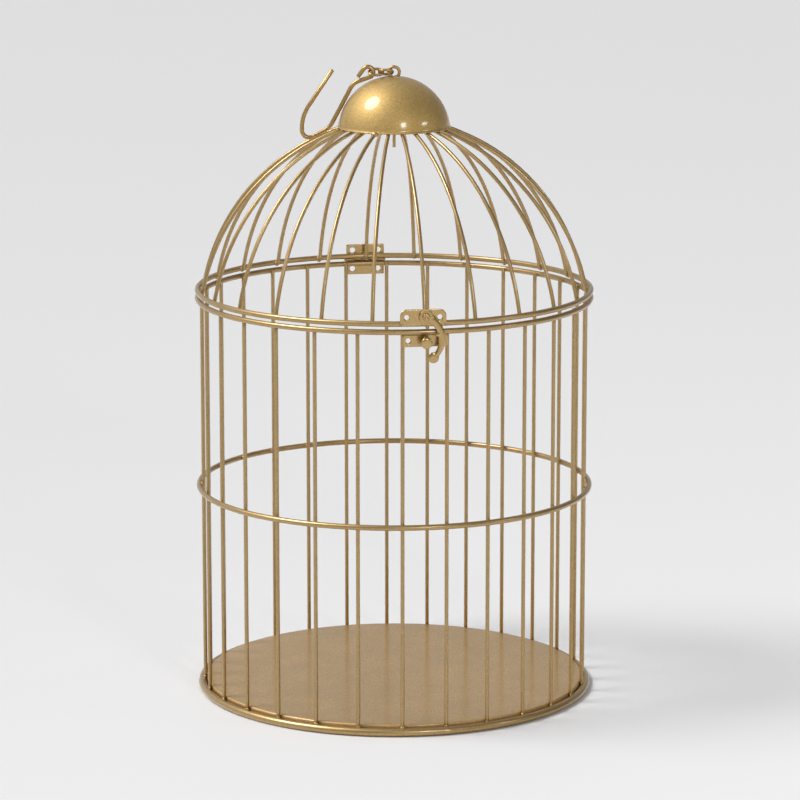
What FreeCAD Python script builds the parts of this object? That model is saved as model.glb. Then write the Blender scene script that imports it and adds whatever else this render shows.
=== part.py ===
import FreeCAD, Part
import math
import os

import Sketcher

# Wire birdcage card box: a barred cage on a heavy base ring, with a dome lid that swings back on a butt
# hinge, a swing latch at the front, and a hanging hook on two chain links at the top of the lid.
# Millimetres and degrees. The axis of the cage is Z, the floor is z = 0, the latch faces -Y and the hinge +Y.
DIMENSIONS = {
    # cage wires
    "cage_radius": 125,
    "ring_wire": 3.2,
    "base_wire": 5,
    "thin_wire": 2.2,
    "ring_sides": 8,
    "thin_sides": 6,
    "weld_bite": 0.03,
    "bar_count": 28,
    "bar_top": 252.2,
    "bar_foot": 3.6,
    "mid_ring_height": 131,
    "rim_ring_height": 251.1,
    "lid_ring_height": 256.1,
    # floor of the cage
    "plate_top": 6.5,
    "plate_sheet": 0.8,
    "plate_edge": 4,
    "plate_bevel": 0.8,
    # dome
    "rib_count": 24,
    "rib_centre_back": 9,
    "rib_centre_height": 232,
    "rib_foot": 254.9,
    "rib_end_radius": 24,
    "rib_steps": 10,
    "crown_radius": 26,
    "cap_radius": 35,
    "cap_height": 32,
    "cap_sheet": 0.8,
    "cap_rim_height": 357.69,
    "cap_steps": 8,
    "cap_sides": 48,
    "cap_hole": 0.9,
    # eye, chain and hook
    "small_sides": 8,
    "eye_wire": 2,
    "eye_radius": 3.3,
    "eye_rise": 6.7,
    "eye_steps": 24,
    "bend_steps": 10,
    "eye_stub_end": 345,
    "chain_azimuth": 172.5,
    "chain_height": 392.15,
    "link_wire": 1.6,
    "link_length": 10,
    "link_width": 8,
    "link_tilt": 30,
    "link_play": 0.6,
    "hook_wire": 2.4,
    "hook_eye_radius": 3.3,
    "hook_eye_gap": 0.2,
    "hook_neck_reach": 25.4,
    "hook_neck_height": 385.4,
    "hook_neck_bend": 10,
    "hook_heel_reach": 40.2,
    "hook_heel_height": 357.5,
    "hook_heel_bend": 12,
    "hook_toe_reach": 57.4,
    "hook_toe_height": 348.3,
    "hook_toe_bend": 4.6,
    "hook_lip_height": 364.8,
    "hook_lip_bend": 26,
    "hook_tip_reach": 38.1,
    "hook_tip_height": 393.8,
    # hinge
    "hinge_length": 25,
    "leaf_width": 10,
    "leaf_sheet": 0.8,
    "leaf_hole": 3.6,
    "leaf_hole_spacing": 17,
    "leaf_hole_drop": 6.2,
    "knuckle_radius": 1.85,
    "knuckle_bore": 1.05,
    "knuckle_count": 5,
    "knuckle_gap": 0.2,
    "hinge_height": 253.6,
    "pin_radius": 1,
    "pin_head": 1.6,
    "pin_head_length": 0.9,
    # latch
    "latch_width": 28,
    "latch_sheet": 1,
    "latch_hole": 3,
    "latch_hole_spacing": 20,
    "latch_side": -1.9,
    "latch_corner": 4.2,
    "latch_plate_low": 255.2,
    "latch_plate_high": 265.3,
    "latch_hole_height": 260.5,
    "keeper_low": 241.8,
    "keeper_high": 249.4,
    "keeper_corner": 1.6,
    "keeper_hole_height": 245.7,
    "keeper_hole_spacing": 21,
    "pivot_side": -0.4,
    "pivot_height": 260.9,
    "rivet_radius": 1.4,
    "rivet_head": 2.3,
    "rivet_head_length": 1.2,
    "rivet_back_length": 0.7,
    "arm_sheet": 1.6,
    "arm_play": 0.3,
    "arm_bore": 1.45,
    "arm_boss": 4.2,
    "arm_width": 4.1,
    "arm_bow": 14.7,
    "arm_end": 3.3,
    "arm_end_side": 0.8,
    "arm_end_drop": 25.4,
    "arm_open": 8.5,
    "nib_reach": 3.6,
    "nib_drop": 12.1,
    "nib_root": 2.6,
    "post_height": 245.2,
    "post_foot": 2.2,
    "post_neck": 1,
    "post_head": 3.5,
    "post_head_length": 1.4,
    "post_head_play": 1,
}

doc = FreeCAD.newDocument("birdcage_card_box")
sheet = doc.addObject("Spreadsheet::Sheet", "dims")
for row, (name, number) in enumerate(DIMENSIONS.items(), start=1):
    sheet.set(f"A{row}", name)
    sheet.set(f"B{row}", str(number))
    sheet.setAlias(f"B{row}", name)
doc.recompute()

X_AXIS = FreeCAD.Vector(1, 0, 0)
Y_AXIS = FreeCAD.Vector(0, 1, 0)
Z_AXIS = FreeCAD.Vector(0, 0, 1)
ORIGIN = FreeCAD.Vector(0, 0, 0)
FULL_TURN = 360
sub_parts = []


def dim(name):
    """A driving dimension's number, for the pieces whose shape is set directly."""
    return float(sheet.get(name))


def bind(obj, bindings):
    """Binds properties of an object to expressions on the sheet, where each dimension goes by its name."""
    for prop, expression in bindings.items():
        obj.setExpression(prop, expression)


def add(kind, name, bindings=None, placement=None):
    """A document object with its placement and the sizes bound to the sheet."""
    obj = doc.addObject(kind, name)
    if placement is not None:
        obj.Placement = placement
    bind(obj, bindings or {})
    return obj


def joined(kind, name, base, tool):
    """A boolean of two objects, Part::Cut or Part::Fuse."""
    obj = doc.addObject(kind, name)
    obj.Base = base
    obj.Tool = tool
    return obj


def keep(obj, node):
    """Marks an object as a finished sub-part, under the node's name."""
    obj.Label = node
    sub_parts.append(obj)
    return obj


def about_z(angle):
    return FreeCAD.Placement(ORIGIN, FreeCAD.Rotation(Z_AXIS, angle))


def circumradius(wire, sides):
    """Expression for the corner radius of a wire's section that is as thick as the wire across its flats."""
    return f"({wire}) / 2 / cos(180 / ({sides}))"


def swept(name, section, nodes, closed=False):
    """A section carried along straight steps through given points and mitred at each."""
    spine = doc.addObject("Part::Polygon", name + "_spine")
    spine.Nodes = nodes
    spine.Close = closed
    sweep = doc.addObject("Part::Sweep", name)
    sweep.Sections = [section]
    step_count = len(nodes) if closed else len(nodes) - 1
    sweep.Spine = (spine, [f"Edge{step + 1}" for step in range(step_count)])
    sweep.Solid = True
    sweep.Frenet = False
    sweep.Transition = "Right corner"
    return sweep


def swept_wire(name, nodes, outward, wire, sides, closed=False):
    """A bent wire whose section is a regular polygon, as thick across its flats as the wire.

    One of its flat sides faces outward."""
    along = (nodes[1] - nodes[0]).normalize()
    facing = FreeCAD.Rotation(outward, along.cross(outward), along, "ZXY")
    half_side = FreeCAD.Rotation(Z_AXIS, 180 / dim(sides))
    section = add(
        "Part::RegularPolygon",
        name + "_section",
        {"Polygon": f"dims.{sides}", "Circumradius": circumradius(f"dims.{wire}", f"dims.{sides}")},
        FreeCAD.Placement(nodes[0], facing.multiply(half_side)),
    )
    return swept(name, section, nodes, closed)


def from_middle(corners):
    """A closed run of corners that starts halfway along its last side, so that every corner is mitred."""
    return [(corners[-1] + corners[0]) * 0.5] + corners


def wire_ring(name, wire, radius, height, steps):
    """A closed ring of wire about the cage axis, with corners at the latch, at the hinge and at every wire."""
    count = int(steps)
    angles = [math.radians(-90 + FULL_TURN * step / count) for step in range(count)]
    corners = [FreeCAD.Vector(radius * math.cos(angle), radius * math.sin(angle), height) for angle in angles]
    nodes = from_middle(corners)
    outward = FreeCAD.Vector(nodes[0].x, nodes[0].y, 0).normalize()
    return swept_wire(name, nodes, outward, wire, "ring_sides", closed=True)


# Rings of the cage. The base ring stands on a narrow flat, and the bars are welded inside the other rings.
base_radius = dim("cage_radius") - dim("base_wire") / 2
base_steps = wire_ring("base", "base_wire", base_radius, dim("base_wire") / 2, 2 * dim("bar_count"))
base_ring = add("Part::Refine", "base_with_one_flat")
base_ring.Source = base_steps
keep(base_ring, "base_ring")
ring_radius = dim("cage_radius") - dim("ring_wire") / 2
for ring_name, node, wire_count in (
    ("mid_ring", "mid_ring", "bar_count"),
    ("rim_ring", "body_rim_ring", "bar_count"),
    ("lid_ring", "lid_ring", "rib_count"),
):
    height = dim(f"{ring_name}_height")
    ring = wire_ring(ring_name + "_wire", "ring_wire", ring_radius, height, 2 * dim(wire_count))
    keep(ring, node)

# Upright bars, evenly spaced so that the latch and the hinge each stand midway between two of them.
# Each foot is coped to the shoulder of the base ring.
ring_inside = dim("cage_radius") - dim("ring_wire")
bar_circle = ring_inside + dim("weld_bite") - dim("thin_wire") / 2
bar_step = FULL_TURN / dim("bar_count")
flat_out = FreeCAD.Rotation(Z_AXIS, 180 / dim("thin_sides"))
for index in range(int(dim("bar_count"))):
    azimuth = -90 + bar_step * (index + 0.5)
    place = FreeCAD.Placement(FreeCAD.Vector(bar_circle, 0, dim("bar_foot")), flat_out)
    rod = add(
        "Part::Prism",
        f"bar_rod_{index + 1:02d}",
        {
            "Polygon": "dims.thin_sides",
            "Circumradius": circumradius("dims.thin_wire", "dims.thin_sides"),
            "Height": "dims.bar_top - dims.bar_foot",
        },
        about_z(azimuth).multiply(place),
    )
    bar = joined("Part::Cut", f"bar_{index + 1:02d}", rod, base_ring)
    keep(bar, f"upright_bar_{index + 1:02d}")


def origin_plane(body, role):
    """One of a body's own origin planes, by its role."""
    return next(plane for plane in body.Origin.OriginFeatures if plane.Role == role)


def new_body(name, placement=None):
    body = doc.addObject("PartDesign::Body", name)
    if placement is not None:
        body.Placement = placement
    return body


def new_sketch(body, name, role):
    sketch = body.newObject("Sketcher::SketchObject", name)
    sketch.AttachmentSupport = [(origin_plane(body, role), "")]
    sketch.MapMode = "FlatFace"
    return sketch


def pin_point(sketch, geometry, end, x, y):
    """Holds a point of the sketch at two expressions, measured from the sketch's origin."""
    for kind, expression in (("DistanceX", x), ("DistanceY", y)):
        number = float(sketch.evalExpression(expression))
        index = sketch.addConstraint(Sketcher.Constraint(kind, -1, 1, geometry, end, number))
        sketch.setExpression(f"Constraints[{index}]", expression)


def polygon(sketch, corners):
    """A closed outline of straight sides through corners that are pairs of expressions."""
    points = [
        FreeCAD.Vector(float(sketch.evalExpression(x)), float(sketch.evalExpression(y)), 0)
        for x, y in corners
    ]
    first = sketch.GeometryCount
    count = len(corners)
    for index in range(count):
        sketch.addGeometry(Part.LineSegment(points[index], points[(index + 1) % count]))
    for index in range(count):
        following = first + (index + 1) % count
        sketch.addConstraint(Sketcher.Constraint("Coincident", first + index, 2, following, 1))
    for index, (x, y) in enumerate(corners):
        pin_point(sketch, first + index, 1, x, y)


def circle(sketch, x, y, radius):
    """A circle whose centre and radius are expressions."""
    centre = FreeCAD.Vector(float(sketch.evalExpression(x)), float(sketch.evalExpression(y)), 0)
    number = float(sketch.evalExpression(radius))
    index = sketch.addGeometry(Part.Circle(centre, Z_AXIS, number))
    pin_point(sketch, index, 3, x, y)
    constraint = sketch.addConstraint(Sketcher.Constraint("Radius", index, number))
    sketch.setExpression(f"Constraints[{constraint}]", radius)
    return index


def pad(body, name, sketch, length):
    feature = body.newObject("PartDesign::Pad", name)
    feature.Profile = sketch
    bind(feature, {"Length": length})
    doc.recompute()
    return feature


def revolve(body, name, sketch):
    """A full turn of a sketch about its own vertical axis."""
    feature = body.newObject("PartDesign::Revolution", name)
    feature.Profile = sketch
    feature.ReferenceAxis = (sketch, ["V_Axis"])
    feature.Angle = FULL_TURN
    doc.recompute()
    return feature


def round_edges(body, name, radius, chosen):
    """Rounds the edges of a body's last feature that a test picks out."""
    base = body.Tip
    edges = [f"Edge{i}" for i, edge in enumerate(base.Shape.Edges, start=1) if chosen(edge)]
    feature = body.newObject("PartDesign::Fillet", name)
    feature.Base = (base, edges)
    bind(feature, {"Radius": radius})
    doc.recompute()
    return feature


# Floor of the cage: a shallow pressed tray turned upside down, with a bevelled edge. It has as many sides as the
# base ring, and every other corner is welded to the inner side of a bar.
PLATE_RADIUS = "dims.cage_radius - dims.ring_wire - dims.thin_wire + 2 * dims.weld_bite"


def plate_prism(name, radius, height):
    """A prism that stands at the height of the tray's lower edge and has a corner at every bar."""
    return add(
        "Part::Prism",
        name,
        {
            "Polygon": "2 * dims.bar_count",
            "Circumradius": radius,
            "Height": height,
            ".Placement.Base.z": "dims.plate_top - dims.plate_edge",
        },
    )


plate_block = plate_prism("plate_block", PLATE_RADIUS, "dims.plate_edge")
plate_hollow = plate_prism(
    "plate_hollow", f"{PLATE_RADIUS} - dims.plate_sheet", "dims.plate_edge - dims.plate_sheet"
)
plate_tray = joined("Part::Cut", "plate_tray", plate_block, plate_hollow)
doc.recompute()
plate_rim = [
    number
    for number, edge in enumerate(plate_tray.Shape.Edges, start=1)
    if edge.BoundBox.ZMin > dim("plate_top") - dim("plate_bevel") / 2
]
plate = doc.addObject("Part::Chamfer", "plate")
plate.Base = plate_tray
plate.Edges = [(number, dim("plate_bevel"), dim("plate_bevel")) for number in plate_rim]
keep(plate, "base_plate")

# Dome ribs. Each is one arc in a plane through the cage axis, from the inside of the lid ring to the crown.
rib_circle = ring_inside + dim("weld_bite") - dim("thin_wire") / 2
rib_back = dim("rib_centre_back")
rib_rise = dim("lid_ring_height") - dim("rib_centre_height")
rib_arc = math.hypot(rib_circle + rib_back, rib_rise)
rib_start = math.degrees(math.asin((dim("rib_foot") - dim("rib_centre_height")) / rib_arc))
rib_stop = math.degrees(math.acos((dim("rib_end_radius") + rib_back) / rib_arc))
rib_step = FULL_TURN / dim("rib_count")
pair_count = int(dim("rib_count")) // 2


def on_rib(turn):
    """A point of a rib in its own plane, as a distance out and a height, at a turn about the arc's centre."""
    out = rib_arc * math.cos(math.radians(turn)) - rib_back
    return FreeCAD.Vector(out, 0, dim("rib_centre_height") + rib_arc * math.sin(math.radians(turn)))


rib_turns = [
    rib_start + (rib_stop - rib_start) * step / dim("rib_steps") for step in range(int(dim("rib_steps")) + 1)
]
rib_nodes = [on_rib(turn) for turn in rib_turns]
for index in range(pair_count):
    ribs = []
    for side in (0, 1):
        turn = FreeCAD.Rotation(Z_AXIS, -90 + rib_step * (index + side * pair_count))
        nodes = [turn.multVec(node) for node in rib_nodes]
        square_on = turn.multVec(Y_AXIS).cross(nodes[1] - nodes[0]).normalize()
        ribs.append(swept_wire(f"rib_{index + 1:02d}_{side}", nodes, square_on, "thin_wire", "thin_sides"))
    pair = doc.addObject("Part::Compound", f"rib_pair_{index + 1:02d}")
    pair.Links = ribs
    keep(pair, f"dome_rib_pair_{index + 1:02d}")

# Crown ring, on top of the ribs' ends and hidden by the cap.
rib_crown = math.sqrt(rib_arc**2 - (dim("crown_radius") + rib_back) ** 2) + dim("rib_centre_height")
crown_slope = (dim("crown_radius") + rib_back) / rib_arc
crown_height = rib_crown + dim("thin_wire") / 2 / math.sqrt(1 - crown_slope**2) + dim("ring_wire") / 2
crown = wire_ring("crown", "ring_wire", dim("crown_radius"), crown_height, dim("rib_count"))
keep(crown, "crown_ring")

# The chain and the hook lie in the upright plane through the cage axis at the chain's azimuth. In that plane
# a place is (reach, height): the distance from the axis, and the height above the floor.
along_chain = FreeCAD.Rotation(Z_AXIS, dim("chain_azimuth"))


def in_chain_plane(reach, height):
    return along_chain.multVec(FreeCAD.Vector(reach, 0, height))


def bend(centre, first, second, start, stop, steps):
    """Points round a bend: a centre, its two radius vectors, and the bearings where it starts and stops."""
    bearings = [math.radians(start + (stop - start) * step / steps) for step in range(int(steps) + 1)]
    return [centre + first * math.cos(bearing) + second * math.sin(bearing) for bearing in bearings]


# Lifting eye: a closed loop in the plane of the chain, on a shank that runs down through the cap.
CAP_TOP = "dims.cap_rim_height + dims.cap_height"
EYE_HEIGHT = f"{CAP_TOP} + dims.eye_rise - dims.eye_radius - dims.eye_wire / 2"
eye_height = float(sheet.evalExpression(EYE_HEIGHT.replace("dims.", "")))
eye_out = in_chain_plane(dim("eye_radius"), 0)
eye_up = Z_AXIS * dim("eye_radius")
eye_nodes = bend(in_chain_plane(0, eye_height), eye_out, eye_up, 0, FULL_TURN, dim("eye_steps"))[1:]
eye_start = from_middle(eye_nodes)
eye_facing = (eye_start[0] - in_chain_plane(0, eye_height)).normalize()
eye_loop = swept_wire("eye_loop", eye_start, eye_facing, "eye_wire", "small_sides", closed=True)
eye_shank = add(
    "Part::Prism",
    "eye_shank",
    {
        "Polygon": "dims.small_sides",
        "Circumradius": circumradius("dims.eye_wire", "dims.small_sides"),
        "Height": f"{EYE_HEIGHT} - dims.eye_radius - dims.eye_stub_end",
        ".Placement.Base.z": "dims.eye_stub_end",
    },
    FreeCAD.Placement(ORIGIN, along_chain.multiply(FreeCAD.Rotation(Z_AXIS, 180 / dim("small_sides")))),
)
lifting_eye = keep(joined("Part::Fuse", "eye", eye_loop, eye_shank), "lifting_eye")

# Cap: a pressed bowl, nearly half a ball, that stands on the ribs, drilled and slit for the eye. Its half
# profile runs up the outside and back down the inside in short straight steps, and is carried round the axis.
CAP_BALL = "(dims.cap_radius ^ 2 + dims.cap_height ^ 2) / (2 * dims.cap_height)"
CAP_EDGE = f"acos(dims.cap_radius / ({CAP_BALL}))"


def cap_corner(ball, step):
    """A corner of the cap's profile, on a ball of the given radius, at one of the equal steps up from the rim."""
    top = f"acos(dims.cap_hole / ({ball}))"
    bearing = f"({CAP_EDGE} + ({top} - {CAP_EDGE}) * {step} / dims.cap_steps)"
    return f"({ball}) * cos({bearing})", f"{CAP_TOP} - ({CAP_BALL}) + ({ball}) * sin({bearing})"


cap_profile = doc.addObject("Sketcher::SketchObject", "cap_profile")
cap_profile.Placement = FreeCAD.Placement(ORIGIN, FreeCAD.Rotation(X_AXIS, 90))
cap_steps = range(int(dim("cap_steps")) + 1)
cap_outside = [cap_corner(CAP_BALL, step) for step in cap_steps]
cap_inside = [cap_corner(f"({CAP_BALL}) - dims.cap_sheet", step) for step in cap_steps]
polygon(cap_profile, cap_outside + cap_inside[::-1])
cap_turn = FULL_TURN / dim("cap_sides")
cap_reach = dim("cap_radius") / math.cos(math.radians(cap_turn / 2))
cap_bearings = [math.radians(cap_turn * (side + 0.5)) for side in range(int(dim("cap_sides")))]
cap_round = [
    FreeCAD.Vector(cap_reach * math.cos(bearing), cap_reach * math.sin(bearing), dim("cap_rim_height"))
    for bearing in cap_bearings
]
cap_shell = swept("cap_shell", cap_profile, from_middle(cap_round), closed=True)
keep(joined("Part::Cut", "cap", cap_shell, lifting_eye), "dome_cap")

# Links: ovals of two half circles and two straights, each leaning the other way from the one before it.
link_bend = (dim("link_width") - dim("link_wire")) / 2
link_span = dim("link_length") - dim("link_wire")
eye_reach = dim("eye_radius") - (dim("eye_wire") + dim("link_wire")) / 2 - dim("link_play")
link_reach = [eye_reach, eye_reach + link_span - dim("link_wire") - dim("link_play")]
link_lean = [90 - dim("link_tilt"), 90 + dim("link_tilt")]
ahead = in_chain_plane(1, 0)
for index in (0, 1):
    lean = math.radians(link_lean[index])
    across = along_chain.multVec(FreeCAD.Vector(0, math.sin(lean), math.cos(lean)))
    near = in_chain_plane(link_reach[index], dim("chain_height"))
    near_centre = near + ahead * link_bend
    far_centre = near + ahead * (link_span - link_bend)
    steps = dim("bend_steps")
    far_end = bend(far_centre, across * link_bend, ahead * link_bend, 0, 180, steps)
    near_end = bend(near_centre, across * -link_bend, ahead * -link_bend, 0, 180, steps)
    nodes = from_middle(far_end + near_end)
    link = swept_wire(f"link_{index + 1}", nodes, across, "link_wire", "small_sides", closed=True)
    keep(link, f"chain_link_{index + 1}")


def rounded_route(corners):
    """Points along straight legs with a bend of its own radius at each (reach, height, radius) corner between."""
    route = [in_chain_plane(*corners[0][:2])]
    for before, corner, after in zip(corners, corners[1:], corners[2:]):
        here = in_chain_plane(*corner[:2])
        back = (in_chain_plane(*before[:2]) - here).normalize()
        on = (in_chain_plane(*after[:2]) - here).normalize()
        turn = math.pi - back.getAngle(on)
        inward = (back + on).normalize()
        centre = here + inward * (corner[2] / math.cos(turn / 2))
        across = (on - back).normalize()
        half_turn = math.degrees(turn) / 2
        steps = max(2, math.ceil(half_turn * dim("bend_steps") / 90))
        route += bend(centre, inward * -corner[2], across * corner[2], -half_turn, half_turn, steps)
    return route + [in_chain_plane(*corners[-1][:2])]


# Hook: its eye is a drop-shaped loop round the second link's far end, closed against the neck. The shank
# runs down beside the cap, and the bow dips between two ribs and turns up to the tip.
hook_touch = (dim("hook_wire") + dim("link_wire")) / 2 + dim("link_play")
loop_reach = link_reach[1] + link_span - hook_touch + dim("hook_eye_radius")
loop_height = dim("chain_height")
neck_reach = dim("hook_neck_reach")
neck_height = dim("hook_neck_height")
loop_distance = math.hypot(neck_reach - loop_reach, loop_height - neck_height)
loop_bearing = math.atan2(loop_height - neck_height, loop_reach - neck_reach)
loop_half = math.asin(dim("hook_eye_radius") / loop_distance)
leg = math.sqrt(loop_distance**2 - dim("hook_eye_radius") ** 2)
wire_end = (dim("hook_wire") + dim("hook_eye_gap")) / (2 * math.sin(loop_half))


def from_neck(distance, bearing):
    return neck_reach + distance * math.cos(bearing), neck_height + distance * math.sin(bearing)


loop_centre = in_chain_plane(loop_reach, loop_height)
loop_far = in_chain_plane(math.cos(loop_bearing), math.sin(loop_bearing)) * dim("hook_eye_radius")
loop_side = in_chain_plane(-math.sin(loop_bearing), math.cos(loop_bearing)) * dim("hook_eye_radius")
loop_turn = 90 + math.degrees(loop_half)
upper_start = in_chain_plane(*from_neck(wire_end, loop_bearing - loop_half))
lower_touch = from_neck(leg, loop_bearing + loop_half)
shank_route = [
    lower_touch,
    (neck_reach, neck_height, dim("hook_neck_bend")),
    (dim("hook_heel_reach"), dim("hook_heel_height"), dim("hook_heel_bend")),
    (dim("hook_toe_reach"), dim("hook_toe_height"), dim("hook_toe_bend")),
    (dim("hook_toe_reach"), dim("hook_lip_height"), dim("hook_lip_bend")),
    (dim("hook_tip_reach"), dim("hook_tip_height")),
]
hook_nodes = [upper_start]
hook_nodes += bend(loop_centre, loop_far, loop_side, -loop_turn, loop_turn, dim("bend_steps"))
hook_nodes += rounded_route(shank_route)[1:]
hook_facing = (hook_nodes[1] - hook_nodes[0]).normalize().cross(in_chain_plane(0, 1).cross(ahead))
hook = swept_wire("hook", hook_nodes, hook_facing, "hook_wire", "small_sides")
keep(hook, "hanging_hook")

# Butt hinge at the back. Both leaves lie flat on the outside of the rings and their knuckles take turns along
# the pin, which is tight in the lower leaf and runs in the upper one. The pin's axis stands clear of the
# rings, so that the lid can fold right over.
LEAF_INSIDE = "dims.cage_radius - dims.weld_bite"
PIN_OUT = f"{LEAF_INSIDE} + dims.knuckle_radius"
across_cage = FreeCAD.Rotation(Y_AXIS, 90)
through_leaf = FreeCAD.Rotation(X_AXIS, -90)
KNUCKLE_PITCH = "dims.hinge_length / dims.knuckle_count"


def across_pin(name, radius, length):
    """A round bar along the pin's axis, centred on the hinge."""
    return add(
        "Part::Cylinder",
        name,
        {
            "Radius": radius,
            "Height": length,
            ".Placement.Base.x": f"-({length}) / 2",
            ".Placement.Base.y": PIN_OUT,
            ".Placement.Base.z": "dims.hinge_height",
        },
        FreeCAD.Placement(ORIGIN, across_cage),
    )


def hinge_leaf(node, up, first_notch, bore_radius):
    """A leaf with its rolled knuckles; notches for the other leaf's knuckles start at the given place."""
    low = "dims.hinge_height" if up else "dims.hinge_height - dims.leaf_width"
    flat = add(
        "Part::Box",
        node + "_flat",
        {
            "Length": "dims.hinge_length",
            "Width": "dims.leaf_sheet",
            "Height": "dims.leaf_width",
            ".Placement.Base.x": "-dims.hinge_length / 2",
            ".Placement.Base.y": LEAF_INSIDE,
            ".Placement.Base.z": low,
        },
    )
    roll = across_pin(node + "_roll", "dims.knuckle_radius", "dims.hinge_length")
    bore = across_pin(node + "_bore", bore_radius, "2 * dims.hinge_length")
    leaf = joined("Part::Cut", node + "_bored", joined("Part::Fuse", node + "_blank", flat, roll), bore)
    for place in range(first_notch, int(dim("knuckle_count")), 2):
        notch = add(
            "Part::Box",
            f"{node}_notch_{place}",
            {
                "Length": f"{KNUCKLE_PITCH} + dims.knuckle_gap",
                "Width": "4 * dims.knuckle_radius",
                "Height": "2 * (dims.knuckle_radius + dims.knuckle_gap)",
                ".Placement.Base.x": f"{KNUCKLE_PITCH} * {place} - (dims.hinge_length + dims.knuckle_gap) / 2",
                ".Placement.Base.y": f"{PIN_OUT} - 2 * dims.knuckle_radius",
                ".Placement.Base.z": "dims.hinge_height - dims.knuckle_radius - dims.knuckle_gap",
            },
        )
        leaf = joined("Part::Cut", f"{node}_notched_{place}", leaf, notch)
    for side in (-1, 1):
        hole = add(
            "Part::Cylinder",
            f"{node}_hole_{side + 1}",
            {
                "Radius": "dims.leaf_hole / 2",
                "Height": "4 * dims.leaf_sheet",
                ".Placement.Base.x": f"{side} * dims.leaf_hole_spacing / 2",
                ".Placement.Base.y": f"{LEAF_INSIDE} - dims.leaf_sheet",
                ".Placement.Base.z": f"dims.hinge_height + {1 if up else -1} * dims.leaf_hole_drop",
            },
            FreeCAD.Placement(ORIGIN, through_leaf),
        )
        leaf = joined("Part::Cut", f"{node}_holed_{side + 1}", leaf, hole)
    return keep(leaf, node)


hinge_leaf("lower_hinge_leaf", False, 1, "dims.pin_radius")
hinge_leaf("upper_hinge_leaf", True, 0, "dims.knuckle_bore")
pin_rod = across_pin("pin_rod", "dims.pin_radius", "dims.hinge_length + 2 * dims.knuckle_gap")
PIN_HALF = "(dims.hinge_length / 2 + dims.knuckle_gap)"
pin = pin_rod
for side in (-1, 1):
    head = across_pin(f"pin_head_{side + 1}", "dims.pin_head", "dims.pin_head_length")
    head_start = PIN_HALF if side > 0 else f"-{PIN_HALF} - dims.pin_head_length"
    bind(head, {".Placement.Base.x": head_start})
    pin = joined("Part::Fuse", f"pin_{side + 1}", pin, head)
keep(pin, "hinge_pin")

# Swing latch at the front. Distances out from the cage axis: the upper plate lies on the lid ring, the arm
# hangs in front of it, and the keeper plate lies on the two middle bars, just below the mouth ring.
PLATE_OUT = "dims.cage_radius - dims.weld_bite"
ARM_OUT = f"{PLATE_OUT} + dims.latch_sheet + dims.arm_play"
half_bar_step = math.radians(bar_step / 2)
half_side = math.pi / dim("thin_sides")
bar_front = dim("thin_wire") / 2 * math.cos(half_side - half_bar_step) / math.cos(half_side)
KEEPER_OUT = f"{bar_circle * math.cos(half_bar_step) + bar_front} - dims.weld_bite"


def latch_body(name, out, x="0", z="0", turn=0):
    """A body whose sketches are seen from the front and whose pads grow outwards from a given distance."""
    body = new_body(name, FreeCAD.Placement(ORIGIN, FreeCAD.Rotation(Y_AXIS, turn)))
    bind(body, {".Placement.Base.x": x, ".Placement.Base.y": f"-({out})", ".Placement.Base.z": z})
    return body


def latch_sheet_metal(name, node, out, side, low, high, spacing, hole_height, extra_hole):
    """A small plate with two screw holes, and a third hole for the rivet or the post that it carries."""
    body = latch_body(name, out, side)
    sketch = new_sketch(body, name + "_outline", "XZ_Plane")
    half = "dims.latch_width / 2"
    polygon(sketch, [(f"-{half}", low), (half, low), (half, high), (f"-{half}", high)])
    for end in ("-", ""):
        circle(sketch, f"{end}{spacing} / 2", hole_height, "dims.latch_hole / 2")
    circle(sketch, f"dims.pivot_side - ({side})", *extra_hole)
    pad(body, name + "_sheet", sketch, "dims.latch_sheet")
    return keep(body, node)


def corner_edges(height):
    """A test for the upright corners of a plate at one height."""

    def chosen(edge):
        box = edge.BoundBox
        square_on = box.YLength > dim("latch_sheet") / 2 and box.XLength < dim("weld_bite")
        at_side = abs(abs(box.Center.x) - dim("latch_width") / 2) < dim("weld_bite")
        return square_on and at_side and abs(box.Center.z - height) < dim("weld_bite")

    return chosen


latch_plate = latch_sheet_metal(
    "latch_upper",
    "latch_plate",
    PLATE_OUT,
    "dims.latch_side",
    "dims.latch_plate_low",
    "dims.latch_plate_high",
    "dims.latch_hole_spacing",
    "dims.latch_hole_height",
    ("dims.pivot_height", "dims.rivet_radius"),
)
round_edges(latch_plate, "latch_upper_corners", "dims.latch_corner", corner_edges(dim("latch_plate_high")))
keeper = latch_sheet_metal(
    "latch_keeper",
    "latch_keeper_plate",
    KEEPER_OUT,
    "0",
    "dims.keeper_low",
    "dims.keeper_high",
    "dims.keeper_hole_spacing",
    "dims.keeper_hole_height",
    ("dims.post_height", "dims.post_neck"),
)
round_edges(keeper, "latch_keeper_corners", "dims.keeper_corner", corner_edges(dim("keeper_low")))


def turned(name, node, out, z, profile):
    """A turned pin that points out of the front, from a half profile of (radius, distance out) corners."""
    outward = FreeCAD.Rotation(X_AXIS, 90)
    body = new_body(name, FreeCAD.Placement(ORIGIN, outward))
    bind(body, {".Placement.Base.x": "dims.pivot_side", ".Placement.Base.y": f"-({out})", ".Placement.Base.z": z})
    sketch = new_sketch(body, name + "_profile", "XZ_Plane")
    polygon(sketch, profile)
    revolve(body, name + "_turned", sketch)
    return keep(body, node)


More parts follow.
